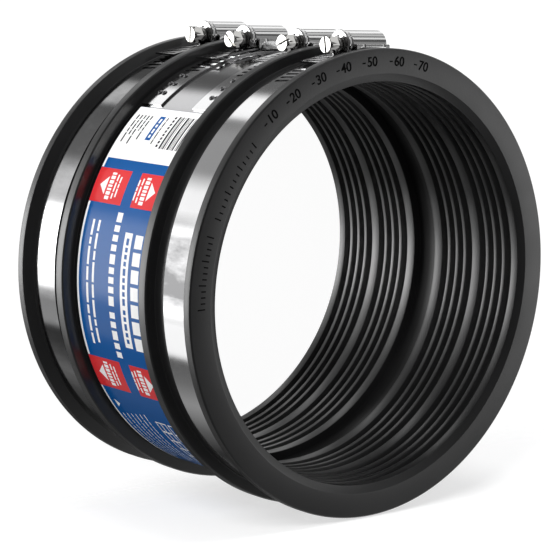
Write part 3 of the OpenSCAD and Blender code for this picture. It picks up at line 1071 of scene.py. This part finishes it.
def make_camera():
    """The camera, fitted to the circles and edges in the photograph; angles in degrees, distances in mm."""
    azimuth, elevation, roll = radians(-40.06), radians(8.38), radians(1.84)
    distance, slide, lift = 917.9, -1.73, -5.50
    focal_px, frame_px, sensor = 2129.0, 560.0, 36.0
    back = Vector((cos(elevation) * cos(azimuth), cos(elevation) * sin(azimuth), sin(elevation)))
    right = Vector((0, 0, 1)).cross(back).normalized()
    up = back.cross(right)
    turned_right = cos(roll) * right + sin(roll) * up
    turned_up = cos(roll) * up - sin(roll) * right
    place = back * distance + turned_right * slide + turned_up * lift
    x, y, z = (point_from_photo(*v) for v in (turned_right, turned_up, back))
    data = bpy.data.cameras.new("camera")
    data.lens = focal_px * sensor / frame_px
    data.sensor_width = sensor
    data.clip_start = 0.01
    data.clip_end = 20
    camera = add_object("camera", data)
    matrix = Matrix((x, y, z)).transposed().to_4x4()
    matrix.translation = (point_from_photo(*place) + Vector((0, 0, mid_z))) * MM
    camera.matrix_world = matrix
    bpy.context.scene.camera = camera


def glowing_matt(t, colour, strength, share):
    """A matt surface, and the same with a share of white glow, which keeps the shadows on it faint."""
    matt = t.fill(t.add("ShaderNodeBsdfDiffuse"), Color=colour).outputs[0]
    glow = t.fill(t.add("ShaderNodeEmission"), Strength=strength).outputs[0]
    return matt, t.mix_shaders(share, matt, glow)


def stage_sheet(name, corners, tree, surface):
    """A large sheet with one material, for the scene round the coupling."""
    tree.nodes.remove(tree.nodes["Principled BSDF"])
    tree.feed(tree.nodes["Material Output"].inputs["Surface"], surface)
    make_object(name, corners, [(0, 1, 2, 3)], [tree.owner], False)


def make_floor():
    """The floor: nearly white to the camera, with a faint shadow, and clear to what mirrors it."""
    t = new_material("pale_floor")
    paths = t.add("ShaderNodeLightPath").outputs
    matt, faint = glowing_matt(t, (0.86, 0.86, 0.86, 1), 1.16, 0.82)
    seen = t.mix_shaders(paths["Is Camera Ray"], matt, faint)
    clear = t.add("ShaderNodeBsdfTransparent").outputs[0]
    corners = [(x, y, 0) for x, y in rectangle(-stage_half, stage_half, -stage_half, stage_half)]
    stage_sheet("floor", corners, t, t.mix_shaders(paths["Is Glossy Ray"], seen, clear))


def make_backdrop():
    """A sheet along the side the coupling lies on in the photograph; it shows only the shadow there.

    The camera alone sees it, on the coupling's side, and it fades in over the lower half of the sleeve.
    """
    t = new_material("shadow_backdrop")
    front = t.math("SUBTRACT", 1.0, t.add("ShaderNodeNewGeometry").outputs["Backfacing"])
    shown = t.math("MULTIPLY", t.add("ShaderNodeLightPath").outputs["Is Camera Ray"], front)
    rise = t.spread(t.axes()["Z"], 0.0, 1.0, 0.0, mid_z * MM, "SMOOTHSTEP")
    _, faint = glowing_matt(t, (0.9, 0.9, 0.9, 1), 1.26, 0.5)
    clear = t.add("ShaderNodeBsdfTransparent").outputs[0]
    y = -crest_r - backdrop_gap
    corners = [(x, y, z) for z, x in rectangle(-stage_half, stage_half, -stage_half, stage_half)]
    stage_sheet("backdrop", corners, t, t.mix_shaders(t.math("MULTIPLY", shown, rise), clear, faint))


# The room that bright steel mirrors. Low directions: (angle round the pipe, brightness)
ROOM_LOW = [(-180, 1.5), (-134, 1.5), (-132, 0.13), (-118, 0.22), (-105, 0.4), (-88, 0.14), (-70, 0.03),
            (-35, 0.12), (-20, 0.45), (30, 0.5), (33, 1.3), (40, 1.3), (43, 0.3), (53, 0.3), (56, 0.16),
            (70, 0.18), (76, 1.5), (90, 1.5), (93, 0.3), (98, 0.35), (103, 0.45), (127, 0.45), (138, 1.5),
            (180, 1.5)]
# Higher directions: (Z of the direction, brightness)
ROOM_HIGH = [(-0.66, 0.25), (-0.6, 0.25), (-0.56, 1.4), (-0.2, 1.3), (-0.17, 0.15), (-0.1, 0.15),
             (-0.06, 0.8), (0.2, 0.7), (0.25, 0.1), (0.32, 0.1), (0.36, 1.2), (0.5, 1.0), (0.54, 0.12),
             (0.66, 0.12), (0.7, 0.4), (0.75, 0.3), (0.8, 0.15), (1.0, 0.12)]
ROOM_SEAM = (-0.68, -0.62)
# A bright window in the low part, which also shows on the label: (angle, brightness) and (Z, share)
WINDOW_TURN = [(-180, 4.6), (-158, 4.1), (-154, 0.0), (156, 0.0), (161, 4.1), (180, 4.6)]
WINDOW_TALL = [(-0.9, 0.0), (-0.86, 1.0), (-0.72, 1.0), (-0.68, 0.0)]
# A float curve ends at 1, so that stands for this brightness
FULL = 5.0


def make_world():
    """White to the camera, grey where light is scattered, and the room to what mirrors it."""
    world = bpy.data.worlds.new("studio")
    bpy.context.scene.world = world
    t = Tree(world)

    def curve(source, stops):
        """Brightness along a value from the first stop to the last, in parts of FULL."""
        low, high = stops[0][0], stops[-1][0]
        node = t.fill(t.add("ShaderNodeFloatCurve"), Value=t.spread(source, 0.0, 1.0, low, high))
        line = node.mapping.curves[0]
        while len(line.points) < len(stops):
            line.points.new(0.5, 0.5)
        for point, (place, value) in zip(line.points, stops):
            point.location = ((place - low) / (high - low), value / FULL)
            point.handle_type = "VECTOR"
        node.mapping.update()
        return node.outputs["Value"]

    axes = t.axes("Generated")
    angle = t.math("DEGREES", t.turn(axes))
    # The room is dimmer on the screw heads' side
    towards_x = t.spread(axes["X"], 0.2, 1.0, -0.2, 0.4)
    above = t.math("MULTIPLY", curve(axes["Z"], ROOM_HIGH), towards_x)
    room = t.fill(t.add("ShaderNodeMix"), Factor=t.spread(axes["Z"], 0.0, 1.0, *ROOM_SEAM),
                  A=curve(angle, ROOM_LOW), B=above)
    window = t.math("MULTIPLY", curve(angle, WINDOW_TURN), curve(axes["Z"], WINDOW_TALL))
    strength = t.math("MULTIPLY_ADD", room.outputs["Result"], FULL, t.math("MULTIPLY", window, FULL * FULL))

    mirrored = t.fill(t.nodes["Background"], Color=(1, 1, 1, 1), Strength=strength).outputs[0]
    scattered = t.fill(t.add("ShaderNodeBackground"), Color=(0.42, 0.42, 0.43, 1)).outputs[0]
    white = t.fill(t.add("ShaderNodeBackground"), Color=(1, 1, 1, 1)).outputs[0]
    paths = t.add("ShaderNodeLightPath").outputs
    unseen = t.mix_shaders(paths["Is Glossy Ray"], scattered, mirrored)
    seen = t.mix_shaders(paths["Is Camera Ray"], unseen, white)
    t.feed(t.nodes["World Output"].inputs["Surface"], seen)


def make_lamp(name, place, size, power, mirrored):
    """A soft box that looks at the coupling's middle; place is in the photograph's frame, in metres."""
    data = bpy.data.lights.new(name, "AREA")
    data.shape = "RECTANGLE"
    data.size, data.size_y = size
    data.energy = power
    lamp = add_object(name, data)
    lamp.visible_glossy = mirrored
    middle = Vector((0, 0, mid_z * MM))
    spot = point_from_photo(*place) + middle
    aim = middle - spot
    lamp.matrix_world = Matrix.Translation(spot) @ aim.to_track_quat("-Z", "Y").to_matrix().to_4x4()


make_sleeve()
make_face_marks()
make_ring()
make_label()
make_outer_band(0, "clamp_band_1", REAR_BAND)
make_outer_band(3, "clamp_band_4", FRONT_BAND)
for number in (2, 3):
    make_strap(number - 1, f"clamp_strap_{number}")
    make_tail_band(number - 1, f"tail_band_{number}")
for number in (1, 2, 3, 4):
    make_saddle(number - 1, f"saddle_{number}")
    make_housing(number - 1, f"housing_{number}")
    make_screw(number - 1, f"worm_screw_{number}", f"screw_{number}")

make_camera()
make_floor()
make_backdrop()
make_world()
make_lamp("key", place=(0.9, -1.3, 1.2), size=(0.9, 0.6), power=24, mirrored=False)
make_lamp("side", place=(1.1, 1.3, -0.1), size=(0.5, 0.6), power=1.7, mirrored=True)
make_lamp("top", place=(0.1, 0.1, 1.6), size=(0.7, 0.7), power=14, mirrored=False)

bpy.context.scene.view_settings.view_transform = "Standard"
